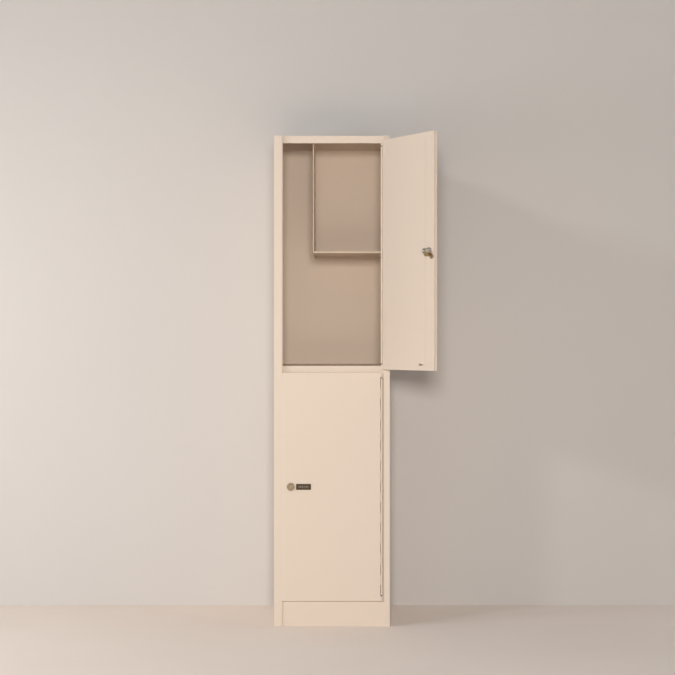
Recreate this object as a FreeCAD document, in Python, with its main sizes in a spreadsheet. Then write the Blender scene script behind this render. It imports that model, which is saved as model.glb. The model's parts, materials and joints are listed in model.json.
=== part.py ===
import FreeCAD, Part
import Sketcher
import math
import os
from types import SimpleNamespace

# A two-tier steel locker: one column, two doors on continuous hinges, a cubby in the upper compartment.
# The origin is on the floor, at the middle of the width and on the back plane.
# X points right, Y points back and Z points up. All lengths are in millimetres.

# Driving sizes: name, value and what it measures
DRIVING_SIZES = (
    ("unit_width", 425, "outside width across the posts"),
    ("unit_depth", 500, "outside depth, front of the posts to the back"),
    ("unit_height", 1800, "floor to top"),
    ("steel", 1, "thickness of the folded sheet"),
    ("bend_radius", 1.2, "outside radius of the folds that show"),
    ("left_post_face", 30, "face width of the lock-side post"),
    ("right_post_face", 21.5, "face width of the hinge-side post"),
    ("left_lip", 2, "door stop on the lock-side post"),
    ("right_lip", 11, "door stop on the hinge-side post"),
    ("rear_flange", 16, "inward flange at the back of a side panel"),
    ("plinth_height", 90, "floor to the top of the plinth"),
    ("plinth_recess", 4, "plinth face behind the posts"),
    ("base_flange", 32, "flanges that rest on the floor"),
    ("base_leg", 45, "upright leg of the rear base rail"),
    ("rail_flange", 20, "stiffening flange of a cross rail"),
    ("rail_return", 8, "short return under the header"),
    ("rail_overlap", 12.2, "mid rail and sill hidden behind a door's edge"),
    ("header_overlap", 7.6, "header hidden behind the upper door's edge"),
    ("tray_flange", 24, "down-turned flanges of the shelf and the bottom panel"),
    ("door_thickness", 12, "outer face to inner face"),
    ("door_proud", 1.3, "closed door in front of the posts"),
    ("door_clear", 1.5, "closed door to the stops behind it"),
    ("door_gap", 1.8, "box of the door to the lock-side post"),
    ("door_flange", 2.8, "skin past the box, over the lock-side post"),
    ("door_edge_round", 0.6, "rounded edges of the skin"),
    ("door_bottom_gap", 3, "plinth to the lower door"),
    ("door_between_gap", 12, "lower door to the upper door"),
    ("door_top_gap", 19, "upper door to the top"),
    ("door_lip", 16, "inner lip folded round a door's edge"),
    ("channel_width", 52, "free edge to the seam of the lock channel"),
    ("seam_gap", 1.2, "open seam between liner and channel"),
    ("liner_clear", 0.5, "liner edge to the pan around it"),
    ("drain_length", 26, "drain slot in the liner, end to end"),
    ("drain_width", 6, "drain slot in the liner, across"),
    ("drain_inset", 32.7, "seam of the lock channel to the middle of the drain slot"),
    ("drain_rise", 20, "door's bottom edge to the drain slot"),
    ("upper_door_angle", 120, "how far the upper door stands open"),
    ("lower_door_angle", 0, "how far the lower door stands open"),
    ("upper_cam_angle", 45, "upper cam, turned from hanging towards locked"),
    ("lower_cam_angle", 0, "lower cam, turned from hanging towards locked"),
    ("hinge_inset", 8.7, "hinge axis to the edge of the post"),
    ("hinge_margin", 21, "hinge axis to the box of the door"),
    ("hinge_end", 18, "door's end to the notch for the hinge"),
    ("hinge_ear", 0.7, "door's corner past the hinge axis"),
    ("knuckle_radius", 3.2, "outside radius of the hinge knuckle"),
    ("knuckle_clear", 1.5, "knuckle to the notched edge of the door and to the frame leaf"),
    ("knuckle_pairs", 10, "door knuckles; the frame leaf has one more"),
    ("knuckle_gap", 0.3, "end play between two knuckles"),
    ("leaf_steel", 1, "thickness of the hinge leaves"),
    ("pin_radius", 1.5, "hinge pin"),
    ("running_fit", 0.05, "radial clearance of what turns"),
    ("washer_length", 2.5, "end washer on the hinge pin"),
    ("washer_clear", 0.4, "end washer to the notch and to the knuckles"),
    ("lock_inset", 29.7, "free edge to the lock axis"),
    ("rosette_radius", 14.5, "lock rosette"),
    ("rosette_height", 4, "lock rosette in front of the door"),
    ("rosette_round", 1.4, "rounded rim of the rosette"),
    ("barrel_radius", 9.5, "threaded lock barrel"),
    ("barrel_length", 33, "door's face to the end of the barrel"),
    ("barrel_clear", 0.3, "barrel to the holes in the sheets"),
    ("nut_flats", 24, "lock nut across flats"),
    ("nut_height", 6, "lock nut, how thick"),
    ("plug_radius", 6, "turning plug of the lock"),
    ("plug_proud", 0.5, "plug in front of the rosette"),
    ("plug_shoulder", 0.3, "end of the barrel to the cam"),
    ("key_width", 1.6, "key slot, across"),
    ("key_height", 7.5, "key slot, end to end"),
    ("key_depth", 9, "key slot, how deep"),
    ("drive_square", 8, "square end of the plug"),
    ("drive_clear", 0.05, "square end to the cam"),
    ("cam_steel", 2.5, "thickness of the lock cam"),
    ("cam_width", 15, "lock cam, across"),
    ("cam_heel", 9, "cam above the lock axis"),
    ("cam_crank", 16, "lock axis to the crank of the cam"),
    ("cam_reach", 36, "lock axis to the tip of the cam"),
    ("cam_play", 1, "locked cam to the back of the door stop"),
    ("cam_round", 6, "rounded corners of the cam"),
    ("screw_radius", 2, "cam screw shank"),
    ("screw_depth", 9, "cam screw in the plug"),
    ("screw_head_radius", 6.5, "cam screw head"),
    ("screw_head_height", 3, "cam screw head, how thick"),
    ("screw_clear", 0.05, "cam screw to its hole"),
    ("plate_width", 55, "number plate, side to side"),
    ("plate_height", 22, "number plate, bottom to top"),
    ("plate_steel", 1, "number plate, how thick"),
    ("plate_offset", 47, "lock axis to the middle of the number plate"),
    ("plate_round", 1.5, "rounded corners of the number plate"),
    ("cubby_width", 281, "cubby, from the divider to the side panel"),
    ("cubby_drop", 420, "ceiling to the top of the cubby shelf"),
    ("cubby_setback", 60, "cubby's front edges behind the posts"),
    ("cubby_lip", 7, "front lip of the cubby shelf"),
    ("hem_width", 4, "folded front edge of the divider"),
    ("hem_return", 12, "how far the hems fold back"),
    ("wall_hole_radius", 3.5, "wall fixing holes"),
    ("wall_hole_drop", 100, "top to the wall fixing holes"),
)

SHEET_NAME = "Sizes"
SKETCH_ORIGIN = -1
START, END, CENTRE = 1, 2, 3
QUARTER_TURN = math.pi / 2
PARTS_FOLDER = "parts"

doc = FreeCAD.newDocument("Locker")


def make_size_sheet():
    """Writes every driving size into the sheet, one row each, with its name as the alias."""
    sheet = doc.addObject("Spreadsheet::Sheet", SHEET_NAME)
    for row, (name, value, meaning) in enumerate(DRIVING_SIZES, start=1):
        sheet.set(f"A{row}", name)
        sheet.set(f"B{row}", str(value))
        sheet.set(f"C{row}", meaning)
        sheet.setAlias(f"B{row}", name)
    doc.recompute()
    return sheet


size_sheet = make_size_sheet()


class Dim:
    """A length written as an expression of the sheet's cells."""

    def __init__(self, text):
        self.text = str(text)

    def joined(self, sign, other):
        other_text = other.text if isinstance(other, Dim) else str(other)
        return Dim(f"({self.text} {sign} {other_text})")

    def __add__(self, other):
        return self.joined("+", other)

    def __sub__(self, other):
        return self.joined("-", other)

    def __mul__(self, other):
        return self.joined("*", other)

    def __truediv__(self, other):
        return self.joined("/", other)

    def __neg__(self):
        return Dim(f"(0 - {self.text})")

    @property
    def value(self):
        return float(size_sheet.evalExpression(self.text))


ZERO = Dim("0")
size = SimpleNamespace(**{name: Dim(f"{SHEET_NAME}.{name}") for name, _, _ in DRIVING_SIZES})

# Places across the width
half_width = size.unit_width / 2
side_outer = half_width - size.steel
side_inner = side_outer - size.steel
left_post_edge = size.left_post_face - half_width
right_post_edge = half_width - size.right_post_face
left_stop = left_post_edge + size.left_lip
right_stop = right_post_edge - size.right_lip
hinge_x = right_post_edge - size.hinge_inset
wall_hole_x = side_outer - size.rear_flange / 2
flange_edge = side_outer - size.rear_flange
divider_x = side_inner - size.cubby_width
divider_face = divider_x + size.hem_width

# Places along the depth
front = -size.unit_depth
door_face = front - size.door_proud
stop_front = door_face + size.door_thickness + size.door_clear
stop_back = stop_front + size.steel
plinth_front = front + size.plinth_recess
hinge_y = door_face + size.knuckle_radius
cubby_front = front + size.cubby_setback
back_inside = -size.steel
flange_inside = back_inside - size.steel

# Places up the height
ceiling = size.unit_height - size.steel
door_gaps = size.door_bottom_gap + size.door_between_gap + size.door_top_gap
door_height = (size.unit_height - size.plinth_height - door_gaps) / 2
lower_door_bottom = size.plinth_height + size.door_bottom_gap
lower_door_top = lower_door_bottom + door_height
upper_door_bottom = lower_door_top + size.door_between_gap
upper_door_top = upper_door_bottom + door_height
sill_top = lower_door_bottom + size.rail_overlap
mid_rail_bottom = lower_door_top - size.rail_overlap
mid_rail_top = upper_door_bottom + size.rail_overlap
header_bottom = upper_door_top - size.header_overlap
cubby_top = ceiling - size.cubby_drop
cubby_bottom = cubby_top - size.cubby_lip
wall_hole_z = size.unit_height - size.wall_hole_drop

# Places on a door, measured from its hinge axis and its bottom edge
door_front = -size.knuckle_radius
door_inner = door_front + size.door_thickness
door_skin_back = door_front + size.steel
door_liner_back = door_inner - size.steel
free_edge = left_post_edge + size.door_gap - hinge_x
skin_edge = free_edge - size.door_flange
box_edge = -size.hinge_margin
notch_x = -size.knuckle_radius - size.knuckle_clear
notch_bottom = size.hinge_end
notch_top = door_height - size.hinge_end
channel_edge = free_edge + size.channel_width
knuckles_bottom = notch_bottom + size.washer_clear * 2 + size.washer_length
knuckles_top = door_height - knuckles_bottom
knuckle_pitch = (knuckles_top - knuckles_bottom) / (size.knuckle_pairs * 2 + 1)
knuckle_length = knuckle_pitch - size.knuckle_gap
washer_bottom = notch_bottom + size.washer_clear
washer_step = door_height - washer_bottom * 2 - size.washer_length
lock_x = free_edge + size.lock_inset
lock_z = door_height / 2
rosette_front = door_front - size.rosette_height
plug_front = rosette_front - size.plug_proud
barrel_end = door_front + size.barrel_length
cam_seat = barrel_end + size.plug_shoulder
cam_back = cam_seat + size.cam_steel
cam_tip_front = stop_back - hinge_y + size.cam_play

sub_parts = []


def new_body(label):
    """Starts a sub-part."""
    body = doc.addObject("PartDesign::Body", label)
    body.Label = label
    sub_parts.append(body)
    return body


def origin_feature(body, role):
    return next(feature for feature in body.Origin.OriginFeatures if feature.Role == role)


def new_sketch(body, role, offset):
    """Adds a sketch on one of the body's own origin planes, moved along that plane's normal."""
    sketch = body.newObject("Sketcher::SketchObject", f"{body.Name}_sketch")
    sketch.AttachmentSupport = [(origin_feature(body, role), "")]
    sketch.MapMode = "FlatFace"
    sketch.setExpression("AttachmentOffset.Base.z", offset.text)
    return sketch


def plan_sketch(body, z):
    """A sketch seen from above: its axes are X and Y."""
    return new_sketch(body, "XY_Plane", z)


def front_sketch(body, y):
    """A sketch seen from the front: its axes are X and Z, and its normal points to the front."""
    return new_sketch(body, "XZ_Plane", -y)


def side_sketch(body, x):
    """A sketch seen from the right: its axes are Y and Z."""
    return new_sketch(body, "YZ_Plane", x)


def hold(sketch, kind, length, *places):
    """Adds a dimension to the sketch and ties it to the sheet."""
    number = sketch.addConstraint(Sketcher.Constraint(kind, *places, length.value))
    sketch.setExpression(f"Constraints[{number}]", length.text)


def hold_point(sketch, geometry, point, across, up):
    hold(sketch, "DistanceX", across, SKETCH_ORIGIN, START, geometry, point)
    hold(sketch, "DistanceY", up, SKETCH_ORIGIN, START, geometry, point)


def draw_outline(sketch, points):
    """Draws a closed outline of straight lines with every corner dimensioned."""
    corners = [FreeCAD.Vector(across.value, up.value, 0) for across, up in points]
    lines = [
        sketch.addGeometry(Part.LineSegment(corner, following))
        for corner, following in zip(corners, corners[1:] + corners[:1])
    ]
    for line, following in zip(lines, lines[1:] + lines[:1]):
        sketch.addConstraint(Sketcher.Constraint("Coincident", line, END, following, START))
    for line, (across, up) in zip(lines, points):
        hold_point(sketch, line, START, across, up)


def draw_rectangle(sketch, left, bottom, right, top):
    draw_outline(sketch, [(left, bottom), (right, bottom), (right, top), (left, top)])


def draw_circle(sketch, across, up, radius):
    middle = FreeCAD.Vector(across.value, up.value, 0)
    circle = sketch.addGeometry(Part.Circle(middle, FreeCAD.Vector(0, 0, 1), radius.value))
    hold_point(sketch, circle, CENTRE, across, up)
    hold(sketch, "Radius", radius, circle)


def draw_slot(sketch, across, up, length, width):
    """Draws a level slot with round ends."""
    radius = width / 2
    reach = (length - width) / 2
    normal = FreeCAD.Vector(0, 0, 1)
    ends = []
    for middle_across, turn in ((across - reach, QUARTER_TURN), (across + reach, -QUARTER_TURN)):
        middle = FreeCAD.Vector(middle_across.value, up.value, 0)
        circle = Part.Circle(middle, normal, radius.value)
        arc = sketch.addGeometry(Part.ArcOfCircle(circle, turn, turn + math.pi))
        ends.append((arc, middle_across))
    left_arc, right_arc = ends[0][0], ends[1][0]
    lines = []
    for first_arc, second_arc in ((left_arc, right_arc), (right_arc, left_arc)):
        first_point = sketch.getPoint(first_arc, END)
        second_point = sketch.getPoint(second_arc, START)
        line = sketch.addGeometry(Part.LineSegment(first_point, second_point))
        lines.append((first_arc, line, second_arc))
    for first_arc, line, second_arc in lines:
        sketch.addConstraint(Sketcher.Constraint("Tangent", first_arc, END, line, START))
        sketch.addConstraint(Sketcher.Constraint("Tangent", line, END, second_arc, START))
    for arc, middle_across in ends:
        hold_point(sketch, arc, CENTRE, middle_across, up)
    hold(sketch, "Radius", radius, left_arc)


def folded(path, steel):
    """The outline of a sheet folded square along path, with its thickness on the left of the path."""
    corners = [(across.value, up.value) for across, up in path]
    sides = []
    for (across, up), (next_across, next_up) in zip(corners, corners[1:]):
        run, rise = next_across - across, next_up - up
        sides.append((-math.copysign(1, rise) if rise else 0, math.copysign(1, run) if run else 0))
    inner = []
    for index, (across, up) in enumerate(path):
        meeting = sides[max(index - 1, 0):index + 1]
        inner.append((
            across + steel * sum(side[0] for side in meeting),
            up + steel * sum(side[1] for side in meeting),
        ))
    return path + inner[::-1]


def add_pad(body, sketch, length, backwards=False):
    pad = body.newObject("PartDesign::Pad", f"{body.Name}_pad")
    pad.Profile = sketch
    pad.Reversed = backwards
    pad.setExpression("Length", length.text)
    return pad


def add_pocket(body, sketch, depth, backwards=False):
    """Cuts the sketch into the body, and refuses a cut that takes nothing away."""
    doc.recompute()
    before = body.Shape.Volume
    pocket = body.newObject("PartDesign::Pocket", f"{body.Name}_pocket")
    pocket.Profile = sketch
    pocket.Reversed = backwards
    pocket.setExpression("Length", depth.text)
    doc.recompute()
    if not body.Shape.Volume < before:
        raise RuntimeError(f"{body.Label}: {pocket.Name} cuts nothing")
    return pocket


def add_fillet(body, radius, wanted):
    """Rounds the edges of the body's last feature that wanted picks by their bounding box."""
    doc.recompute()
    base = body.Tip
    names = [
        f"Edge{number}"
        for number, edge in enumerate(base.Shape.Edges, start=1)
        if wanted(edge.BoundBox)
    ]
    if not names:
        raise RuntimeError(f"{body.Label}: no edges to round")
    fillet = body.newObject("PartDesign::Fillet", f"{body.Name}_fillet")
    fillet.Base = (base, names)
    fillet.setExpression("Radius", radius.text)
    return fillet


def same(number, other):
    tolerance = 1e-4
    return abs(number - other) < tolerance


def placement_text(x, y, z, rotation, angle):
    """The expression of a placement at a point, turned there about one axis."""
    return f"placement(vector({x.text}; {y.text}; {z.text}); {rotation}({angle.text}))"


def extruded_plan(label, outline, bottom, top):
    """A sub-part with the same plan all the way up."""
    body = new_body(label)
    sketch = plan_sketch(body, bottom)
    draw_outline(sketch, outline)
    add_pad(body, sketch, top - bottom)
    return body


def extruded_section(label, outline, left, right):
    """A sub-part with the same side section all the way across."""
    body = new_body(label)
    sketch = side_sketch(body, left)
    draw_outline(sketch, outline)
    add_pad(body, sketch, right - left)
    return body


def round_front_folds(body, *folds):
    """Rounds the upright folds at the given places across the front."""
    fold_places = [fold.value for fold in folds]

    def is_fold(box):
        upright = same(box.XLength, 0) and same(box.YLength, 0)
        on_front = same(box.YMin, front.value)
        return upright and on_front and any(same(box.XMin, across) for across in fold_places)

    add_fillet(body, size.bend_radius, is_fold)


def make_posts():
    """The two front posts, each a folded strip with a lip that stops the doors."""
    left_path = [
        (-half_width, stop_back),
        (-half_width, front),
        (left_post_edge, front),
        (left_post_edge, stop_front),
        (left_stop, stop_front),
    ]
    left_post = extruded_plan("left_post", folded(left_path, size.steel), ZERO, ceiling)
    round_front_folds(left_post, -half_width, left_post_edge)
    right_path = [
        (right_stop, stop_front),
        (right_post_edge, stop_front),
        (right_post_edge, front),
        (half_width, front),
        (half_width, stop_back),
    ]
    right_post = extruded_plan("right_post", folded(right_path, size.steel), ZERO, ceiling)
    round_front_folds(right_post, half_width, right_post_edge)


def drill_wall_holes(body, places, y, depth):
    """Wall fixing holes, cut backwards from y."""
    sketch = front_sketch(body, y)
    for place_x in places:
        draw_circle(sketch, place_x, wall_hole_z, size.wall_hole_radius)
    add_pocket(body, sketch, depth)


def upright_sheet(label, left, near, right, far):
    """A flat sheet or strip that stands from the floor to the top panel."""
    body = new_body(label)
    sketch = plan_sketch(body, ZERO)
    draw_rectangle(sketch, left, near, right, far)
    add_pad(body, sketch, ceiling)
    return body


def make_side_panels():
    """The two side panels and, split off at the fold, their rear flanges, which carry the back panel."""
    panel_front = front + size.steel
    upright_sheet("left_side_panel", -side_outer, panel_front, -side_inner, back_inside)
    upright_sheet("right_side_panel", side_inner, panel_front, side_outer, back_inside)
    left_flange = upright_sheet("left_rear_flange", -side_inner, flange_inside, -flange_edge, back_inside)
    drill_wall_holes(left_flange, [-wall_hole_x], flange_inside, size.steel)
    right_flange = upright_sheet("right_rear_flange", flange_edge, flange_inside, side_inner, back_inside)
    drill_wall_holes(right_flange, [wall_hole_x], flange_inside, size.steel)


def make_back_panel():
    """A flat sheet on the flanges of the side panels, standing on the rear base rail."""
    body = new_body("back_panel")
    sketch = front_sketch(body, ZERO)
    draw_rectangle(sketch, -side_outer, size.steel, side_outer, ceiling)
    add_pad(body, sketch, size.steel)
    drill_wall_holes(body, [-wall_hole_x, wall_hole_x], back_inside, size.steel)


def make_top_panel():
    """A flat sheet with two ears that cap the posts."""
    outline = [
        (-half_width, front),
        (left_post_edge, front),
        (left_post_edge, stop_front),
        (right_post_edge, stop_front),
        (right_post_edge, front),
        (half_width, front),
        (half_width, ZERO),
        (-half_width, ZERO),
    ]
    extruded_plan("top_panel", outline, ceiling, size.unit_height)


def make_cross_rails():
    """The header, the rail between the doors and the sill, which join the posts and stop the doors."""
    header_path = [
        (stop_back + size.rail_flange, ceiling),
        (stop_front, ceiling),
        (stop_front, header_bottom),
        (stop_back + size.rail_return, header_bottom),
    ]
    mid_path = [
        (stop_front, mid_rail_top),
        (stop_front, mid_rail_bottom),
        (stop_back + size.rail_flange, mid_rail_bottom),
    ]
    sill_path = [
        (plinth_front, size.plinth_height),
        (stop_back, size.plinth_height),
        (stop_back, sill_top),
    ]
    for label, path in (("header_rail", header_path), ("mid_rail", mid_path), ("sill_rail", sill_path)):
        extruded_section(label, folded(path, size.steel), left_stop, right_stop)


def make_base():
    """The plinth and the rear base rail, with flanges flat on the floor."""
    plinth_path = [
        (plinth_front, size.plinth_height),
        (plinth_front, ZERO),
        (plinth_front + size.base_flange, ZERO),
    ]
    plinth = extruded_section("plinth", folded(plinth_path, size.steel), left_stop, right_stop)
    facing = front_sketch(plinth, plinth_front)
    draw_rectangle(facing, left_post_edge, ZERO, right_post_edge, size.plinth_height)
    add_pad(plinth, facing, size.steel, backwards=True)
    rear_path = [
        (-size.base_flange, size.base_leg),
        (-size.base_flange, ZERO),
        (ZERO, ZERO),
    ]
    extruded_section("rear_base_rail", folded(rear_path, size.steel), -flange_edge, flange_edge)


def make_trays():
    """The shelf between the tiers and the bottom panel, each with a flange down at the front and the back."""
    for label, top in (("tier_shelf", mid_rail_top), ("bottom_panel", sill_top)):
        path = [
            (flange_inside, top - size.tray_flange),
            (flange_inside, top),
            (stop_back, top),
            (stop_back, top - size.tray_flange),
        ]
        extruded_section(label, folded(path, size.steel), -side_inner, side_inner)


def make_cubby():
    """The upright divider and the half shelf of the upper compartment, with hemmed front edges."""
    divider_path = [
        (divider_x, cubby_front + size.hem_return),
        (divider_x, cubby_front),
        (divider_face, cubby_front),
        (divider_face, back_inside),
    ]
    extruded_plan("cubby_divider", folded(divider_path, size.steel), cubby_bottom, ceiling)
    shelf_path = [
        (flange_inside, cubby_top),
        (cubby_front, cubby_top),
        (cubby_front, cubby_bottom),
        (cubby_front + size.hem_return, cubby_bottom),
    ]
    extruded_section("cubby_shelf", folded(shelf_path, size.steel), divider_face, side_inner)


def make_door_pan(tier):
    """The outer skin, flanged over the post and notched for the knuckle, with a box folded up behind it."""
    body = new_body(f"{tier}_door_pan")
    skin = front_sketch(body, door_front)
    draw_outline(skin, [
        (skin_edge, ZERO),
        (size.hinge_ear, ZERO),
        (size.hinge_ear, notch_bottom),
        (notch_x, notch_bottom),
        (notch_x, notch_top),
        (size.hinge_ear, notch_top),
        (size.hinge_ear, door_height),
        (skin_edge, door_height),
    ])
    add_pad(body, skin, size.steel, backwards=True)
    walls = front_sketch(body, door_skin_back)
    draw_rectangle(walls, free_edge, ZERO, box_edge, door_height)
    add_pad(body, walls, size.door_thickness - size.steel, backwards=True)
    hollow = front_sketch(body, door_skin_back)
    draw_rectangle(
        hollow,
        free_edge + size.steel,
        size.steel,
        box_edge - size.steel,
        door_height - size.steel,
    )
    add_pocket(body, hollow, size.door_thickness - size.steel * 2)
    mouth = front_sketch(body, door_liner_back)
    draw_rectangle(
        mouth,
        free_edge + size.door_lip,
        size.door_lip,
        box_edge - size.door_lip,
        door_height - size.door_lip,
    )
    add_pocket(body, mouth, size.steel)
    lock_hole = front_sketch(body, door_front)
    draw_circle(lock_hole, lock_x, lock_z, size.barrel_radius + size.barrel_clear)
    add_pocket(body, lock_hole, size.steel)

    def is_outer_edge(box):
        on_face = same(box.YMin, door_front.value) and same(box.YLength, 0)
        return on_face and (same(box.XLength, 0) or same(box.ZLength, 0))

    add_fillet(body, size.door_edge_round, is_outer_edge)
    return body


def make_door_liner(tier):
    """The inner skin between the hinge edge and the lock channel, with a drain slot near its foot."""
    body = new_body(f"{tier}_door_liner")
    sheet = front_sketch(body, door_liner_back)
    edge = size.steel + size.liner_clear
    draw_rectangle(sheet, channel_edge + size.seam_gap, edge, box_edge - edge, door_height - edge)
    add_pad(body, sheet, size.steel)
    drain = front_sketch(body, door_liner_back - size.steel)
    drain_x = channel_edge + size.drain_inset
    draw_slot(drain, drain_x, size.drain_rise, size.drain_length, size.drain_width)
    add_pocket(body, drain, size.steel)
    return body


def make_door_channel(tier):
    """The channel that stiffens the free edge and carries the lock."""
    path = [
        (channel_edge, door_skin_back),
        (channel_edge, door_liner_back),
        (free_edge + size.steel, door_liner_back),
        (free_edge + size.steel, door_skin_back),
    ]
    edge = size.steel + size.liner_clear
    body = extruded_plan(f"{tier}_door_channel", folded(path, size.steel), edge, door_height - edge)
    lock_hole = front_sketch(body, door_liner_back - size.steel)
    draw_circle(lock_hole, lock_x, lock_z, size.barrel_radius + size.barrel_clear)
    add_pocket(body, lock_hole, size.steel)
    return body


def add_knuckles(body, first_bottom, count, neck):
    """Rings round the hinge axis, each with a neck to the leaf, repeated up the hinge."""
    ring = plan_sketch(body, first_bottom)
    draw_circle(ring, ZERO, ZERO, size.knuckle_radius)
    curl = add_pad(body, ring, knuckle_length)
    tab = plan_sketch(body, first_bottom)
    draw_rectangle(tab, *neck)
    tab_pad = add_pad(body, tab, knuckle_length)
    bore = plan_sketch(body, first_bottom)
    draw_circle(bore, ZERO, ZERO, size.pin_radius + size.running_fit)
    hole = add_pocket(body, bore, knuckle_length, backwards=True)
    pattern = body.newObject("PartDesign::LinearPattern", f"{body.Name}_knuckles")
    pattern.Originals = [curl, tab_pad, hole]
    pattern.Direction = (origin_feature(body, "Z_Axis"), [""])
    pattern.setExpression("Length", (knuckle_pitch * 2 * (count - 1)).text)
    pattern.setExpression("Occurrences", count.text)
    body.Tip = pattern


def make_hinge_door_leaf(tier):
    """The leaf flat behind the door's skin, beside the box, with its knuckles."""
    body = new_body(f"{tier}_hinge_door_leaf")
    leaf = plan_sketch(body, knuckles_bottom)
    leaf_back = door_skin_back + size.leaf_steel
    draw_rectangle(leaf, box_edge + size.liner_clear, door_skin_back, notch_x, leaf_back)
    add_pad(body, leaf, knuckles_top - knuckles_bottom)
    neck = (notch_x, door_skin_back, ZERO, leaf_back)
    first = knuckles_bottom + knuckle_pitch + size.knuckle_gap / 2
    add_knuckles(body, first, size.knuckle_pairs, neck)
    return body


def make_hinge_frame_leaf(tier):
    """The leaf on the return of the post, folded to the back of the knuckles, with its knuckles."""
    body = new_body(f"{tier}_hinge_frame_leaf")
    leaf = plan_sketch(body, knuckles_bottom)
    fold_edge = size.knuckle_radius + size.knuckle_clear
    fold_front = size.knuckle_radius - size.leaf_steel
    path = [
        (fold_edge, fold_front),
        (size.hinge_inset, fold_front),
        (size.hinge_inset, stop_front - hinge_y),
    ]
    draw_outline(leaf, folded(path, size.leaf_steel))
    add_pad(body, leaf, knuckles_top - knuckles_bottom)
    neck = (ZERO, fold_front, fold_edge, size.knuckle_radius)
    first = knuckles_bottom + size.knuckle_gap / 2
    add_knuckles(body, first, size.knuckle_pairs + 1, neck)
    return body


def make_hinge_pin(tier):
    """The pin through every knuckle and both end washers."""
    body = new_body(f"{tier}_hinge_pin")
    rod = plan_sketch(body, washer_bottom)
    draw_circle(rod, ZERO, ZERO, size.pin_radius)
    add_pad(body, rod, door_height - washer_bottom * 2)
    return body


def make_hinge_washers(tier):
    """The two end washers on the hinge pin."""
    body = new_body(f"{tier}_hinge_washers")
    body.AllowCompound = True
    ring = plan_sketch(body, washer_bottom)
    draw_circle(ring, ZERO, ZERO, size.knuckle_radius)
    draw_circle(ring, ZERO, ZERO, size.pin_radius + size.running_fit)
    washer = add_pad(body, ring, size.washer_length)
    pattern = body.newObject("PartDesign::LinearPattern", f"{body.Name}_pair")
    pattern.Originals = [washer]
    pattern.Direction = (origin_feature(body, "Z_Axis"), [""])
    pattern.setExpression("Length", washer_step.text)
    pattern.Occurrences = 2
    body.Tip = pattern
    return body


def make_lock_housing(tier):
    """The rosette and threaded barrel of the lock."""
    body = new_body(f"{tier}_lock_housing")
    rosette = front_sketch(body, door_front)
    draw_circle(rosette, lock_x, lock_z, size.rosette_radius)
    add_pad(body, rosette, size.rosette_height)
    barrel = front_sketch(body, door_front)
    draw_circle(barrel, lock_x, lock_z, size.barrel_radius)
    add_pad(body, barrel, size.barrel_length, backwards=True)

    def is_rim(box):
        on_face = same(box.YMin, rosette_front.value) and same(box.YLength, 0)
        return on_face and box.XLength > size.rosette_radius.value

    add_fillet(body, size.rosette_round, is_rim)
    bore = front_sketch(body, rosette_front)
    draw_circle(bore, lock_x, lock_z, size.plug_radius + size.running_fit)
    add_pocket(body, bore, size.rosette_height + size.barrel_length)
    return body


def make_lock_nut(tier):
    """The hexagon nut that clamps the barrel to the channel."""
    body = new_body(f"{tier}_lock_nut")
    half_flat = size.nut_flats / 2
    corner = size.nut_flats / math.sqrt(3)
    outline = [
        (lock_x, lock_z - corner),
        (lock_x + half_flat, lock_z - corner / 2),
        (lock_x + half_flat, lock_z + corner / 2),
        (lock_x, lock_z + corner),
        (lock_x - half_flat, lock_z + corner / 2),
        (lock_x - half_flat, lock_z - corner / 2),
    ]
    hexagon = front_sketch(body, door_liner_back)
    draw_outline(hexagon, outline)
    draw_circle(hexagon, lock_x, lock_z, size.barrel_radius + size.running_fit)
    add_pad(body, hexagon, size.nut_height, backwards=True)
    return body


def make_number_plate(tier):
    """The small plate beside the lock."""
    body = new_body(f"{tier}_number_plate")
    middle = lock_x + size.plate_offset
    plate = front_sketch(body, door_front)
    draw_rectangle(
        plate,
        middle - size.plate_width / 2,
        lock_z - size.plate_height / 2,
        middle + size.plate_width / 2,
        lock_z + size.plate_height / 2,
    )
    add_pad(body, plate, size.plate_steel)

    def is_corner(box):
        return same(box.XLength, 0) and same(box.ZLength, 0)

    add_fillet(body, size.plate_round, is_corner)
    return body


def make_lock_plug(tier):
    """The turning plug on the lock axis, with a key slot in front and a square end that drives the cam."""
    body = new_body(f"{tier}_lock_plug")
    rod = front_sketch(body, plug_front)
    draw_circle(rod, ZERO, ZERO, size.plug_radius)
    add_pad(body, rod, cam_seat - plug_front, backwards=True)
    drive = front_sketch(body, cam_seat)
    half_drive = size.drive_square / 2
    draw_rectangle(drive, -half_drive, -half_drive, half_drive, half_drive)
    add_pad(body, drive, size.cam_steel, backwards=True)
    key = front_sketch(body, plug_front)
    half_key = size.key_width / 2
    half_slot = size.key_height / 2
    draw_rectangle(key, -half_key, -half_slot, half_key, half_slot)
    add_pocket(body, key, size.key_depth)
    tapped = front_sketch(body, cam_back)
    draw_circle(tapped, ZERO, ZERO, size.screw_radius + size.screw_clear)
    add_pocket(body, tapped, size.screw_depth + size.screw_clear, backwards=True)
    return body


def make_lock_cam(tier):
    """The cranked cam on the plug's square end, drawn hanging down from the lock axis."""
    half_cam = size.cam_width / 2
    path = [
        (cam_seat, size.cam_heel),
        (cam_seat, -size.cam_crank),
        (cam_tip_front, -size.cam_crank),
        (cam_tip_front, -size.cam_reach),
    ]
    body = extruded_section(f"{tier}_lock_cam", folded(path, size.cam_steel), -half_cam, half_cam)
    hole = front_sketch(body, cam_seat)
    half_drive = size.drive_square / 2 + size.drive_clear
    draw_rectangle(hole, -half_drive, -half_drive, half_drive, half_drive)
    add_pocket(body, hole, size.cam_steel)
    ends = (size.cam_heel.value, -size.cam_reach.value)

    def is_end_corner(box):
        through = same(box.XLength, 0) and same(box.ZLength, 0)
        return through and any(same(box.ZMin, end) for end in ends)

    add_fillet(body, size.cam_round, is_end_corner)
    return body


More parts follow.
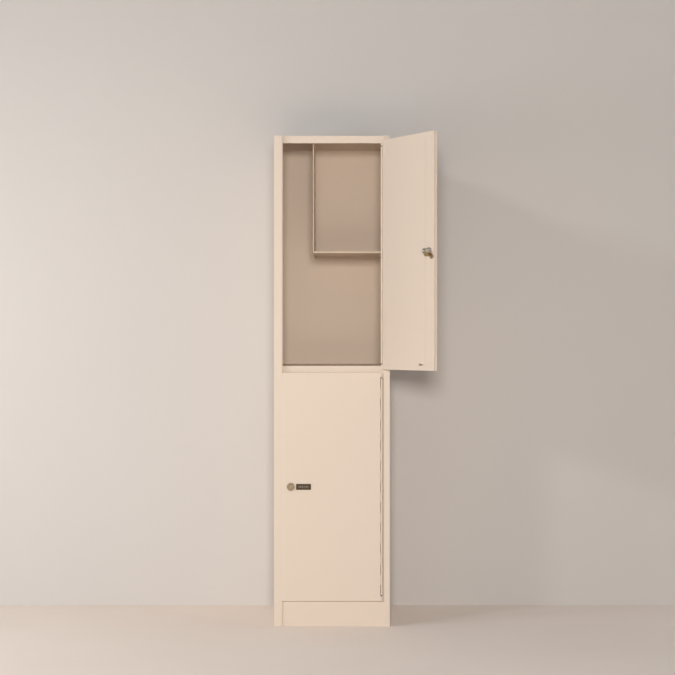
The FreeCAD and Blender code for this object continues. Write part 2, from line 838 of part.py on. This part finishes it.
def make_cam_screw(tier):
    """The screw that holds the cam on the plug."""
    body = new_body(f"{tier}_cam_screw")
    head = front_sketch(body, cam_back)
    draw_circle(head, ZERO, ZERO, size.screw_head_radius)
    add_pad(body, head, size.screw_head_height, backwards=True)
    shank = front_sketch(body, cam_back)
    draw_circle(shank, ZERO, ZERO, size.screw_radius)
    add_pad(body, shank, size.screw_depth)
    return body


DOOR_PIECES = (
    make_door_pan,
    make_door_liner,
    make_door_channel,
    make_hinge_door_leaf,
    make_hinge_pin,
    make_hinge_washers,
    make_lock_housing,
    make_lock_nut,
    make_number_plate,
)
LOCK_PIECES = (
    make_lock_plug,
    make_lock_cam,
    make_cam_screw,
)


def make_door(tier, bottom, door_angle, cam_angle):
    """One door with its hinge and lock: each piece is built on its own axis, then placed and turned."""
    closed = placement_text(hinge_x, hinge_y, bottom, "rotationz", ZERO)
    opened = placement_text(hinge_x, hinge_y, bottom, "rotationz", door_angle)
    lock_turned = placement_text(lock_x, ZERO, lock_z, "rotationy", cam_angle)
    make_hinge_frame_leaf(tier).setExpression("Placement", closed)
    for make_piece in DOOR_PIECES:
        make_piece(tier).setExpression("Placement", opened)
    for make_piece in LOCK_PIECES:
        make_piece(tier).setExpression("Placement", f"{opened} * {lock_turned}")


def check_and_export():
    """Refuses a failed object or shape, then writes every sub-part."""
    doc.recompute()
    failed = [item.Name for item in doc.Objects if {"Invalid", "Error"} & set(item.State)]
    if failed:
        raise RuntimeError(f"failed objects: {failed}")
    for body in sub_parts:
        if body.Shape.isNull() or not body.Shape.isValid():
            raise RuntimeError(f"{body.Label}: bad shape")
    os.makedirs(PARTS_FOLDER, exist_ok=True)
    for body in sub_parts:
        body.Shape.exportStep(os.path.join(PARTS_FOLDER, f"{body.Label}.step"))
        print(f"{body.Label}: {len(body.Shape.Solids)} solids, {body.Shape.Volume:.0f} mm3")


make_posts()
make_side_panels()
make_back_panel()
make_top_panel()
make_cross_rails()
make_base()
make_trays()
make_cubby()
make_door("upper", upper_door_bottom, size.upper_door_angle, size.upper_cam_angle)
make_door("lower", lower_door_bottom, size.lower_door_angle, size.lower_cam_angle)
check_and_export()
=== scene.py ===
import json
import math

import bmesh
import bpy
from mathutils import Matrix, Vector


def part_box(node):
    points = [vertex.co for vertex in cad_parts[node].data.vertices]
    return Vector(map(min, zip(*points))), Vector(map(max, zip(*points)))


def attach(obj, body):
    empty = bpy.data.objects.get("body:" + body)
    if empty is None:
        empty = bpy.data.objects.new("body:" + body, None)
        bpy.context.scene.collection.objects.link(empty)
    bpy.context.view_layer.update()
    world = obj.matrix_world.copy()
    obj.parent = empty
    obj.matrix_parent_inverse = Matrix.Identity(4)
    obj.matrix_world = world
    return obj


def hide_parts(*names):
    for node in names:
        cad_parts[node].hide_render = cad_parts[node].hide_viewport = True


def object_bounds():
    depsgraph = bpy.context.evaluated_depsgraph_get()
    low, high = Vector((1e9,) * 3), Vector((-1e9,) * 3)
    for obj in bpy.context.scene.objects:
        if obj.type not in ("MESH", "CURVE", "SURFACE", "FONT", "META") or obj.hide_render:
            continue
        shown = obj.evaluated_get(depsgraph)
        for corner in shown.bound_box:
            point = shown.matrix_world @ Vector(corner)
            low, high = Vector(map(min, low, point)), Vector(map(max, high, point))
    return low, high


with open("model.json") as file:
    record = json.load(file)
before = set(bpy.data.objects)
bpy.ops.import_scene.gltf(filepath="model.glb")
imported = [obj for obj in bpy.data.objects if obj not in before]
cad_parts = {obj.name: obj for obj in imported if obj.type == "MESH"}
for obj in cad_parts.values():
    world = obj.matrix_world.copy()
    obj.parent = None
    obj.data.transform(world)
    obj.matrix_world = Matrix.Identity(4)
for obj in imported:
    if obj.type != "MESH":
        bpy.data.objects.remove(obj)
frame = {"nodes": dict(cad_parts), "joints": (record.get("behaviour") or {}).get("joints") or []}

CAD_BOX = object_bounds()
MM = 0.001
FULL_TURN = 2 * math.pi
TIERS = ("upper", "lower")
SCENE = bpy.context.scene
JOINTS = {joint["name"]: joint for joint in frame["joints"]}
HINGE_AXIS = Vector(JOINTS["lower_door_hinge"]["pos_m"])
ACROSS_HINGE = (1, 1, 0)
ACROSS_LOCK = (1, 0, 1)
FRONTWARD = (0, -1, 0)

# Camera, level and square to the front
CAMERA_SPOT = (0.0205, -6.9, 1.0595)
CAMERA_TURN = (math.radians(90), 0, 0)
CAMERA_LENS = 93.1
CAMERA_SENSOR = 36

# Room
FLOOR_REACH = 12.0
WALL_GAP = 0.011
WALL_BEHIND = 0.03
WALL_REACH = 9.0
WALL_HEIGHT = 7.0
WALL_COLOUR = (0.645, 0.602, 0.568, 1)
WALL_COLOUR_DEEP = (0.63, 0.578, 0.538, 1)
FLOOR_COLOUR = (0.97, 0.845, 0.745, 1)
FLOOR_COLOUR_DEEP = (0.9, 0.77, 0.67, 1)
ROOM_ROUGHNESS = 0.75
ROOM_TONE_SCALE = 1.3
AMBIENT_COLOUR = (0.8, 0.95, 1.12, 1)
AMBIENT_LEVEL = 0.18

# Lamps: name, spot, target, size, power, colour
LAMPS = (
    ("key", (-8.95, -7.8, 5.5), (0.05, -0.3, 1.0), 1.1, 185, (0.9, 0.96, 1.0)),
    ("fill", (0.05, -6.5, 1.6), (0.0, -4.65, 0.0), 0.7, 212, (0.98, 0.945, 0.895)),
    ("side", (4.5, -0.15, 1.7), (0.2, -0.3, 1.0), 0.8, 27, (0.88, 0.96, 1.08)),
    ("glance", (-2.6, -1.5, 1.25), (0.25, -0.65, 1.3), 0.8, 23, (0.95, 0.98, 1.0)),
    ("rear", (1.5, 4.5, 2.4), (0.0, 0.0, 0.9), 2.0, 150, (1.0, 0.98, 0.95)),
)

# Powder coat
CREAM = (0.742, 0.618, 0.508, 1)
CREAM_DEEP = (0.722, 0.6, 0.488, 1)
# Painted shade: a deeper cream laid on front-facing hems and on hinge leaves beside their knuckles, where
# shade falls
PAINTED_SHADE_CREAM = (0.575, 0.445, 0.335, 1)
HEM_START = 0.5
HEM_FULL = 0.9
KNUCKLE_RADIUS = 3.2 * MM
NOTCH_REACH = 4.7 * MM
GROOVE_REACH = 12 * MM
FOLD_EDGE = 0.3 * MM
COAT_ROUGHNESS = 0.56
COAT_ROUGHNESS_SWING = 0.12
SHEET_SCALE = 2.2
PEEL_SCALE = 420
GRAIN_SCALE = 1900
PEEL_SHARE = 0.6
TONE_SHARE = 0.6
COAT_BUMP = 0.22
COAT_BUMP_DEPTH = 0.12 * MM

# Lock metals
BRASS = (0.4, 0.3, 0.17, 1)
BRASS_WORN = (0.47, 0.37, 0.23, 1)
TURNED_BRASS = (0.31, 0.23, 0.145, 1)
TURNED_BRASS_WORN = (0.365, 0.285, 0.195, 1)
TURNED_ROUGHNESS = 0.54
NICKEL = (0.66, 0.63, 0.58, 1)
ZINC = (0.62, 0.61, 0.6, 1)
ZINC_DULL = (0.47, 0.46, 0.45, 1)
BARE_METAL = 1.0
METAL_ROUGHNESS = 0.22
METAL_ROUGHNESS_SWING = 0.2
RING_SCALE = 2600
RING_BUMP = 0.12
RING_BUMP_DEPTH = 0.05 * MM
STAIN_SCALE = 160
STAIN_LOW = 0.35
STAIN_HIGH = 0.65
MOTTLE_SCALE = 900
NICKEL_START = 0.5 * MM
NICKEL_FULL = 1.5 * MM

# Number plates
ENAMEL = (0.08, 0.048, 0.022, 1)
ENAMEL_WORN = (0.16, 0.11, 0.068, 1)
ENAMEL_ROUGHNESS = 0.55
ENAMEL_GLOSS = 0.25
ENAMEL_SCALE = 700
ENAMEL_RUB = 1.2 * MM
FINE_BUMP = 0.15
FINE_BUMP_DEPTH = 0.05 * MM
NUMBERS = {"upper": "000101", "lower": "000102"}
NUMBER_HEIGHT = 8 * MM
NUMBER_SPACING = 1.6
NUMBER_PROUD = 0.12 * MM
NUMBER_COLOUR = (0.62, 0.52, 0.42, 1)
NUMBER_COLOUR_DEEP = (0.5, 0.41, 0.32, 1)

# Hinge washers
NYLON = (0.012, 0.012, 0.012, 1)
NYLON_PALE = (0.022, 0.022, 0.022, 1)
NYLON_ROUGHNESS = 0.5
NYLON_SCALE = 1500

# Lock barrel thread, nut and cam screw
BARREL_RADIUS = 9.5 * MM
THREAD_PITCH = 1.25 * MM
THREAD_RIDGE = 0.42 * MM
THREAD_SINK = 0.12 * MM
THREAD_STEPS = 56
THREAD_SIDES = 6
THREAD_END_CLEAR = 0.9 * MM
ROUND_STEPS = 72
SHARP_ANGLE = math.radians(28)
NUT_CHAMFER = 0.9 * MM
NUT_CHAMFER_STEPS = 4
NUT_FACE_EDGE = 0.2 * MM
NUT_BORE_EDGE = 0.5 * MM
SCREW_SHANK = 2 * MM
SCREW_CROWN = 1.4 * MM
SCREW_CROWN_IN = 2.2 * MM
SCREW_CROWN_STEPS = 6
SCREW_SOCKET_FLATS = 4 * MM
SCREW_SOCKET_DEPTH = 2 * MM
SCREW_SOCKET_EDGE = 0.25 * MM

# Sockets of the colour mix node, which share their names
MIX_FACTOR = 0
MIX_FIRST = 6
MIX_SECOND = 7
MIX_RESULT = 2


def door_turn(tier):
    """How far this tier's door stands open, in radians."""
    return math.radians(-JOINTS[f"{tier}_door_hinge"]["range_deg"][0])


def door_move(tier):
    """From the closed lower door to this tier's door as it stands."""
    here = Matrix.Translation(JOINTS[f"{tier}_door_hinge"]["pos_m"])
    return here @ Matrix.Rotation(door_turn(tier), 4, "Z") @ Matrix.Translation(-HINGE_AXIS)


DOOR_MOVES = {tier: door_move(tier) for tier in TIERS}
DOOR_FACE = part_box("lower_door_pan")[0].y
PLATE_LOW, PLATE_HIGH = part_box("lower_number_plate")
PLATE_SIZE = PLATE_HIGH - PLATE_LOW
PLATE_SPOT = Vector(((PLATE_LOW.x + PLATE_HIGH.x) / 2, PLATE_LOW.y, (PLATE_LOW.z + PLATE_HIGH.z) / 2))
LOCK_AXIS = Vector(JOINTS["lower_lock_turn"]["pos_m"])
LOCK_SPOT = Vector((LOCK_AXIS.x, DOOR_FACE, LOCK_AXIS.z))
LOCK_CENTRE = Matrix.Translation((LOCK_AXIS.x, 0, LOCK_AXIS.z))


def add_node(tree, kind, settings, sockets):
    """Adds a node, sets it up and fills its sockets with values or links."""
    made = tree.nodes.new(kind)
    for name, value in settings.items():
        setattr(made, name, value)
    for name, value in sockets.items():
        if isinstance(value, Shade):
            value = value.socket
        if isinstance(value, bpy.types.NodeSocket):
            tree.links.new(value, made.inputs[name])
        else:
            made.inputs[name].default_value = value
    return made


class Shade:
    """A result of a shader node; arithmetic on it adds Math nodes."""

    def __init__(self, finish, socket):
        self.finish = finish
        self.socket = socket

    def joined(self, operation, *values):
        return self.finish.node("ShaderNodeMath", {"operation": operation}, dict(enumerate(values)))

    def __add__(self, other):
        return self.joined("ADD", self, other)

    def __radd__(self, other):
        return self.joined("ADD", other, self)

    def __sub__(self, other):
        return self.joined("SUBTRACT", self, other)

    def __rsub__(self, other):
        return self.joined("SUBTRACT", other, self)

    def __mul__(self, other):
        return self.joined("MULTIPLY", self, other)

    def __rmul__(self, other):
        return self.joined("MULTIPLY", other, self)

    def __gt__(self, other):
        return self.joined("GREATER_THAN", self, other)

    def __or__(self, other):
        return self.joined("MAXIMUM", self, other)

    def __abs__(self):
        return self.joined("ABSOLUTE", self)


class Finish:
    """A material under construction."""

    def __init__(self, name):
        self.material = bpy.data.materials.new(name)
        self.material.use_nodes = True
        self.tree = self.material.node_tree
        self.tree.nodes.clear()

    def node(self, kind, settings, sockets, result=0):
        return Shade(self, add_node(self.tree, kind, settings, sockets).outputs[result])

    def place(self):
        return self.node("ShaderNodeTexCoord", {}, {}, "Object")

    def on_door(self, tier, spot):
        """Coordinates from a spot on the closed lower door, carried to this tier's door."""
        sockets = {
            "Vector": self.place(),
            "Location": DOOR_MOVES[tier] @ spot,
            "Rotation": (0, 0, door_turn(tier)),
        }
        return self.node("ShaderNodeMapping", {"vector_type": "TEXTURE"}, sockets)

    def along(self, where, axis):
        return self.node("ShaderNodeSeparateXYZ", {}, {"Vector": where}, axis)

    def reach(self, where, across):
        """Distance from a line, measured across it."""
        flat = self.node("ShaderNodeVectorMath", {"operation": "MULTIPLY"}, {0: where, 1: across})
        return self.node("ShaderNodeVectorMath", {"operation": "LENGTH"}, {0: flat}, "Value")

    def noise(self, where, scale):
        return self.node("ShaderNodeTexNoise", {}, {"Vector": where, "Scale": scale})

    def mix(self, factor, first, second):
        sockets = {MIX_FACTOR: factor, MIX_FIRST: first, MIX_SECOND: second}
        return self.node("ShaderNodeMix", {"data_type": "RGBA"}, sockets, MIX_RESULT)

    def ramp(self, value, low, high):
        """Rises smoothly from 0 at low to 1 at high."""
        sockets = {"Value": value, "From Min": low, "From Max": high}
        return self.node("ShaderNodeMapRange", {"interpolation_type": "SMOOTHSTEP"}, sockets)

    def bump(self, height, strength, depth):
        return self.node("ShaderNodeBump", {}, {"Height": height, "Strength": strength, "Distance": depth})

    def surface(self, sockets):
        return self.node("ShaderNodeBsdfPrincipled", {}, sockets)

    def done(self, shader):
        add_node(self.tree, "ShaderNodeOutputMaterial", {}, {"Surface": shader})
        return self.material


def painted_shade_on_front_hems(finish):
    """Painted shade mask: the front-facing faces of a hemmed sheet, darkened as if they lay in shade."""
    normal = finish.node("ShaderNodeNewGeometry", {}, {}, "Normal")
    sockets = {0: normal, 1: FRONTWARD}
    frontward = finish.node("ShaderNodeVectorMath", {"operation": "DOT_PRODUCT"}, sockets, "Value")
    return finish.ramp(frontward, HEM_START, HEM_FULL)


def painted_shade_beside_knuckles(widest):
    """Painted shade mask: a hinge leaf beside its knuckles, out to a widest reach from the pin, darkened as
    the gaps there would be in shade.
    """

    def shade_mask(finish):
        sockets = {0: finish.place(), 1: HINGE_AXIS}
        from_pin = finish.node("ShaderNodeVectorMath", {"operation": "SUBTRACT"}, sockets)
        radius = finish.reach(from_pin, ACROSS_HINGE)
        past_knuckle = finish.ramp(radius, KNUCKLE_RADIUS, KNUCKLE_RADIUS + FOLD_EDGE)
        return past_knuckle * (1 - finish.ramp(radius, widest, widest + FOLD_EDGE))

    return shade_mask


def cream_coat(name, shade_mask=None):
    """Cream powder coat with a soft peel and a fine grain, with painted shade mixed in where a shade mask is
    given.
    """
    finish = Finish(name)
    where = finish.place()
    tone = finish.noise(where, SHEET_SCALE)
    peel = finish.noise(where, PEEL_SCALE)
    grain = finish.noise(where, GRAIN_SCALE)
    height = peel * PEEL_SHARE + grain * (1 - PEEL_SHARE)
    cream = finish.mix(tone * TONE_SHARE + grain * (1 - TONE_SHARE), CREAM_DEEP, CREAM)
    # Painted shade: the masked places are mixed towards the deeper cream
    if shade_mask:
        cream = finish.mix(shade_mask(finish), cream, PAINTED_SHADE_CREAM)
    return finish.done(finish.surface({
        "Base Color": cream,
        "Roughness": COAT_ROUGHNESS + peel * COAT_ROUGHNESS_SWING,
        "Normal": finish.bump(height, COAT_BUMP, COAT_BUMP_DEPTH),
    }))


def lock_metal(tier):
    """Satin brass turned in fine rings, changing to nickel on the barrel behind the door's face."""
    finish = Finish(f"{tier}_lock_brass")
    local = finish.on_door(tier, LOCK_SPOT)
    radius = finish.reach(local, ACROSS_LOCK)
    rings = finish.node("ShaderNodeTexNoise", {"noise_dimensions": "1D"}, {"W": radius, "Scale": RING_SCALE})
    stain = finish.noise(local, STAIN_SCALE)
    brass = finish.mix(finish.ramp(stain, STAIN_LOW, STAIN_HIGH), TURNED_BRASS, TURNED_BRASS_WORN)
    plated = finish.ramp(finish.along(local, "Y"), NICKEL_START, NICKEL_FULL)
    return finish.done(finish.surface({
        "Base Color": finish.mix(plated, brass, NICKEL),
        "Metallic": BARE_METAL,
        "Roughness": TURNED_ROUGHNESS + rings * METAL_ROUGHNESS_SWING,
        "Normal": finish.bump(rings, RING_BUMP, RING_BUMP_DEPTH),
    }))


def mottled_metal(name, bright, dull):
    """Bare or plated metal with a fine mottle and slight stains."""
    finish = Finish(name)
    where = finish.place()
    mottle = finish.noise(where, MOTTLE_SCALE)
    stain = finish.ramp(finish.noise(where, STAIN_SCALE), STAIN_LOW, STAIN_HIGH)
    return finish.done(finish.surface({
        "Base Color": finish.mix(stain, bright, dull),
        "Metallic": BARE_METAL,
        "Roughness": METAL_ROUGHNESS + mottle * METAL_ROUGHNESS_SWING,
        "Normal": finish.bump(mottle, FINE_BUMP, FINE_BUMP_DEPTH),
    }))


def plate_enamel(tier):
    """Dark brown satin enamel, rubbed paler along the plate's edges."""
    finish = Finish(f"{tier}_plate_enamel")
    local = finish.on_door(tier, PLATE_SPOT)
    grain = finish.noise(local, ENAMEL_SCALE)
    half_width = PLATE_SIZE.x / 2
    half_height = PLATE_SIZE.z / 2
    at_ends = finish.ramp(abs(finish.along(local, "X")), half_width - ENAMEL_RUB, half_width)
    at_sides = finish.ramp(abs(finish.along(local, "Z")), half_height - ENAMEL_RUB, half_height)
    return finish.done(finish.surface({
        "Base Color": finish.mix((at_ends | at_sides) * grain, ENAMEL, ENAMEL_WORN),
        "Roughness": ENAMEL_ROUGHNESS + grain * COAT_ROUGHNESS_SWING,
        "Specular IOR Level": ENAMEL_GLOSS,
        "Normal": finish.bump(grain, FINE_BUMP, FINE_BUMP_DEPTH),
    }))


def grained(name, scale, first, second, roughness):
    """Paint or plastic with a fine grain."""
    finish = Finish(name)
    grain = finish.noise(finish.place(), scale)
    return finish.done(finish.surface({
        "Base Color": finish.mix(grain, first, second),
        "Roughness": roughness + grain * COAT_ROUGHNESS_SWING,
        "Normal": finish.bump(grain, FINE_BUMP, FINE_BUMP_DEPTH),
    }))


def wall_paint():
    """A plain wall that is open from behind and where it is hidden by the locker."""
    finish = Finish("wall_paint")
    where = finish.place()
    paint = finish.surface({
        "Base Color": finish.mix(finish.noise(where, ROOM_TONE_SCALE), WALL_COLOUR, WALL_COLOUR_DEEP),
        "Roughness": ROOM_ROUGHNESS,
    })
    clear = finish.node("ShaderNodeBsdfTransparent", {}, {})
    behind = finish.node("ShaderNodeNewGeometry", {}, {}, "Backfacing")
    beside = abs(finish.along(where, "X")) > -CAD_BOX[0].x - WALL_BEHIND
    above = finish.along(where, "Z") > CAD_BOX[1].z - WALL_BEHIND
    shown = (beside | above) * (1 - behind)
    return finish.done(finish.node("ShaderNodeMixShader", {}, {0: shown, 1: clear, 2: paint}))


ZINC_FINISH = mottled_metal("zinc_plate", ZINC, ZINC_DULL)
NUMBER_FINISH = grained("number_paint", GRAIN_SCALE, NUMBER_COLOUR_DEEP, NUMBER_COLOUR, COAT_ROUGHNESS)
LOCK_FINISHES = {tier: lock_metal(tier) for tier in TIERS}


def coat_nodes():
    """Gives every CAD node its finish."""
    coat = cream_coat("cream_powder_coat")
    # Painted shade on the front-facing hems of the cubby divider and shelf
    hem_shade_coat = cream_coat("hem_painted_shade_coat", painted_shade_on_front_hems)
    # Painted shade on the hinge leaves beside their knuckles, in the gaps at the hinge line
    door_leaf = cream_coat("door_leaf_painted_shade_coat", painted_shade_beside_knuckles(NOTCH_REACH))
    frame_leaf = cream_coat("frame_leaf_painted_shade_coat", painted_shade_beside_knuckles(GROOVE_REACH))
    nylon = grained("black_nylon", NYLON_SCALE, NYLON, NYLON_PALE, NYLON_ROUGHNESS)
    cam_brass = mottled_metal("stamped_brass", BRASS_WORN, BRASS)
    finishes = {"cubby_divider": hem_shade_coat, "cubby_shelf": hem_shade_coat}
    for tier in TIERS:
        finishes[f"{tier}_hinge_door_leaf"] = door_leaf
        finishes[f"{tier}_hinge_frame_leaf"] = frame_leaf
        finishes[f"{tier}_hinge_pin"] = ZINC_FINISH
        finishes[f"{tier}_hinge_washers"] = nylon
        finishes[f"{tier}_lock_nut"] = ZINC_FINISH
        finishes[f"{tier}_cam_screw"] = ZINC_FINISH
        finishes[f"{tier}_lock_cam"] = cam_brass
        finishes[f"{tier}_lock_housing"] = LOCK_FINISHES[tier]
        finishes[f"{tier}_lock_plug"] = LOCK_FINISHES[tier]
        finishes[f"{tier}_number_plate"] = plate_enamel(tier)
    for name, node in frame["nodes"].items():
        for slot in node.material_slots:
            slot.material = finishes.get(name, coat)


def add_piece(name, mesh, material, body, slot, *stands_for):
    """Makes a finished mesh a piece of the object."""
    mesh.materials.clear()
    mesh.materials.append(material)
    piece = bpy.data.objects.new(name, mesh)
    SCENE.collection.objects.link(piece)
    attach(piece, body)
    if stands_for:
        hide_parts(*stands_for)


def plain_mesh(maker):
    """The mesh that an object gives, which is then thrown away."""
    SCENE.collection.objects.link(maker)
    given = maker.evaluated_get(bpy.context.evaluated_depsgraph_get())
    mesh = bpy.data.meshes.new_from_object(given)
    bpy.data.objects.remove(maker)
    return mesh


def round_outline(radius):
    return lambda angle: radius


def hexagon_outline(flats, widest=math.inf):
    """A hexagon with two flats square to X, cut off at its widest reach."""
    sixth = FULL_TURN / 6
    return lambda angle: min(widest, flats / 2 / math.cos((angle + sixth / 2) % sixth - sixth / 2))


def ring_mesh(name, rings, closed):
    """A mesh through outlines along the lock's axis; an open run of rings is capped at both ends."""
    made = bmesh.new()
    loops = []
    for outline, depth in rings:
        loop = []
        for step in range(ROUND_STEPS):
            angle = FULL_TURN * step / ROUND_STEPS
            reach = outline(angle)
            loop.append(made.verts.new((reach * math.cos(angle), depth, reach * math.sin(angle))))
        loops.append(loop)
    pairs = list(zip(loops, loops[1:]))
    if closed:
        pairs.append((loops[-1], loops[0]))
    else:
        made.faces.new(loops[0])
        made.faces.new(loops[-1])
    for first, second in pairs:
        for step in range(ROUND_STEPS):
            following = (step + 1) % ROUND_STEPS
            made.faces.new((first[step], first[following], second[following], second[step]))
    bmesh.ops.recalc_face_normals(made, faces=made.faces)
    mesh = bpy.data.meshes.new(name)
    made.to_mesh(mesh)
    made.free()
    mesh.shade_smooth()
    mesh.set_sharp_from_angle(angle=SHARP_ANGLE)
    return mesh


def make_hex_nut(tier):
    """A chamfered nut on the lock barrel."""
    low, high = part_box("lower_lock_nut")
    flats = high.x - low.x
    corner = flats / math.sqrt(3)
    face = flats / 2 + NUT_FACE_EDGE
    bore = round_outline(BARREL_RADIUS)
    rings = [(bore, low.y), (hexagon_outline(flats), low.y)]
    for step in range(NUT_CHAMFER_STEPS + 1):
        share = step / NUT_CHAMFER_STEPS
        cone = corner + (face - corner) * share
        rings.append((hexagon_outline(flats, cone), high.y - NUT_CHAMFER * (1 - share)))
    rings.append((round_outline(BARREL_RADIUS + NUT_BORE_EDGE), high.y))
    rings.append((bore, high.y - NUT_BORE_EDGE))
    mesh = ring_mesh(f"{tier}_hex_nut", rings, True)
    mesh.transform(DOOR_MOVES[tier] @ LOCK_CENTRE)
    add_piece(f"{tier}_hex_nut", mesh, ZINC_FINISH, f"{tier}_door", "zinc_steel", f"{tier}_lock_nut")


def make_socket_screw(tier):
    """A crowned screw with a hexagon socket, which holds the cam on the plug."""
    low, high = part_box("lower_cam_screw")
    head = (high.x - low.x) / 2
    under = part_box("lower_lock_cam")[1].y
    shank = round_outline(SCREW_SHANK)
    socket = hexagon_outline(SCREW_SOCKET_FLATS)
    rim = SCREW_SOCKET_FLATS / math.sqrt(3) + SCREW_SOCKET_EDGE
    rings = [(shank, low.y), (shank, under), (round_outline(head), under)]
    for step in range(SCREW_CROWN_STEPS + 1):
        angle = FULL_TURN / 4 * step / SCREW_CROWN_STEPS
        reach = head - SCREW_CROWN_IN * (1 - math.cos(angle))
        rings.append((round_outline(reach), high.y - SCREW_CROWN * (1 - math.sin(angle))))
    rings.append((round_outline(rim), high.y))
    rings.append((socket, high.y - SCREW_SOCKET_EDGE))
    rings.append((socket, high.y - SCREW_SOCKET_DEPTH))
    mesh = ring_mesh(f"{tier}_socket_screw", rings, False)
    mesh.transform(DOOR_MOVES[tier] @ LOCK_CENTRE)
    add_piece(f"{tier}_socket_screw", mesh, ZINC_FINISH, f"{tier}_lock", "zinc_steel", f"{tier}_cam_screw")


def thread_tree():
    """A wound ridge, and the identifiers of its inputs."""
    tree = bpy.data.node_groups.new("barrel_thread", "GeometryNodeTree")
    inputs = {"Radius": "Float", "Length": "Float", "Turns": "Float", "Ridge": "Float", "Finish": "Material"}
    keys = {}
    for name, kind in inputs.items():
        socket = tree.interface.new_socket(name, in_out="INPUT", socket_type=f"NodeSocket{kind}")
        keys[name] = socket.identifier
    tree.interface.new_socket("Geometry", in_out="OUTPUT", socket_type="NodeSocketGeometry")
    given = add_node(tree, "NodeGroupInput", {}, {}).outputs
    path = add_node(tree, "GeometryNodeCurveSpiral", {}, {
        "Resolution": THREAD_STEPS,
        "Rotations": given["Turns"],
        "Start Radius": given["Radius"],
        "End Radius": given["Radius"],
        "Height": given["Length"],
    })
    ridge = add_node(tree, "GeometryNodeCurvePrimitiveCircle", {}, {
        "Resolution": THREAD_SIDES,
        "Radius": given["Ridge"],
    })
    wound = add_node(tree, "GeometryNodeCurveToMesh", {}, {
        "Curve": path.outputs["Curve"],
        "Profile Curve": ridge.outputs["Curve"],
        "Fill Caps": True,
    })
    real = add_node(tree, "GeometryNodeRealizeInstances", {}, {"Geometry": wound.outputs["Mesh"]})
    coated = add_node(tree, "GeometryNodeSetMaterial", {}, {
        "Geometry": real.outputs["Geometry"],
        "Material": given["Finish"],
    })
    add_node(tree, "NodeGroupOutput", {}, {"Geometry": coated.outputs["Geometry"]})
    return tree, keys


def make_lock_thread(tier, tree, keys):
    """The thread of the lock barrel, from its nut to its end."""
    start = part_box("lower_lock_nut")[1].y + THREAD_RIDGE
    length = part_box("lower_lock_housing")[1].y - THREAD_END_CLEAR - start
    maker = bpy.data.objects.new("thread_maker", bpy.data.meshes.new("thread_maker"))
    modifier = maker.modifiers.new("thread", "NODES")
    modifier.node_group = tree
    modifier[keys["Radius"]] = BARREL_RADIUS - THREAD_SINK
    modifier[keys["Length"]] = length
    modifier[keys["Turns"]] = length / THREAD_PITCH
    modifier[keys["Ridge"]] = THREAD_RIDGE
    modifier[keys["Finish"]] = LOCK_FINISHES[tier]
    mesh = plain_mesh(maker)
    laid = Matrix.Translation((0, start, 0)) @ Matrix.Rotation(-FULL_TURN / 4, 4, "X")
    mesh.transform(DOOR_MOVES[tier] @ LOCK_CENTRE @ laid)
    add_piece(f"{tier}_lock_thread", mesh, LOCK_FINISHES[tier], f"{tier}_door", "lock_brass")


def make_number(tier):
    """A plain painted number on the door's plate."""
    curve = bpy.data.curves.new("number_maker", "FONT")
    curve.body = NUMBERS[tier]
    curve.size = NUMBER_HEIGHT
    curve.space_character = NUMBER_SPACING
    curve.extrude = NUMBER_PROUD / 2
    mesh = plain_mesh(bpy.data.objects.new("number_maker", curve))
    across = [vertex.co.x for vertex in mesh.vertices]
    upright = [vertex.co.y for vertex in mesh.vertices]
    middle = Vector((min(across) + max(across), min(upright) + max(upright), 0)) / 2
    on_plate = PLATE_SPOT - Vector((0, NUMBER_PROUD / 2, 0))
    turned_up = Matrix.Rotation(FULL_TURN / 4, 4, "X")
    stood = Matrix.Translation(on_plate) @ turned_up @ Matrix.Translation(-middle)
    mesh.transform(DOOR_MOVES[tier] @ stood)
    add_piece(f"{tier}_number", mesh, NUMBER_FINISH, f"{tier}_door", "cream_coat")


def stage_sheet(name, corners, material):
    mesh = bpy.data.meshes.new(name)
    mesh.from_pydata(corners, [], [tuple(range(len(corners)))])
    mesh.materials.append(material)
    sheet = bpy.data.objects.new(name, mesh)
    SCENE.collection.objects.link(sheet)


def make_room():
    far = FLOOR_REACH
    side = WALL_REACH
    floor = grained("floor_paint", ROOM_TONE_SCALE, FLOOR_COLOUR, FLOOR_COLOUR_DEEP, ROOM_ROUGHNESS)
    stage_sheet("floor", [(-far, -far, 0), (far, -far, 0), (far, far, 0), (-far, far, 0)], floor)
    foot = [(-side, WALL_GAP, 0), (side, WALL_GAP, 0)]
    head = [(side, WALL_GAP, WALL_HEIGHT), (-side, WALL_GAP, WALL_HEIGHT)]
    stage_sheet("wall", foot + head, wall_paint())


def make_lights():
    world = bpy.data.worlds.new("soft_room")
    world.use_nodes = True
    world.node_tree.nodes.clear()
    sky = add_node(world.node_tree, "ShaderNodeBackground", {}, {
        "Color": AMBIENT_COLOUR,
        "Strength": AMBIENT_LEVEL,
    })
    add_node(world.node_tree, "ShaderNodeOutputWorld", {}, {"Surface": sky.outputs["Background"]})
    SCENE.world = world
    for name, spot, target, size, power, colour in LAMPS:
        lamp = bpy.data.lights.new(name, "AREA")
        lamp.size = size
        lamp.energy = power
        lamp.color = colour
        holder = bpy.data.objects.new(name, lamp)
        holder.location = spot
        holder.rotation_euler = (Vector(target) - Vector(spot)).to_track_quat("-Z", "Y").to_euler()
        SCENE.collection.objects.link(holder)


def make_camera():
    lens = bpy.data.cameras.new("camera")
    lens.lens = CAMERA_LENS
    lens.sensor_width = CAMERA_SENSOR
    camera = bpy.data.objects.new("camera", lens)
    camera.location = CAMERA_SPOT
    camera.rotation_euler = CAMERA_TURN
    SCENE.collection.objects.link(camera)
    SCENE.camera = camera


def make_locks():
    tree, keys = thread_tree()
    for tier in TIERS:
        make_hex_nut(tier)
        make_socket_screw(tier)
        make_lock_thread(tier, tree, keys)
        make_number(tier)


SCENE.view_settings.view_transform = "Standard"
make_camera()
make_room()
make_lights()
coat_nodes()
make_locks()
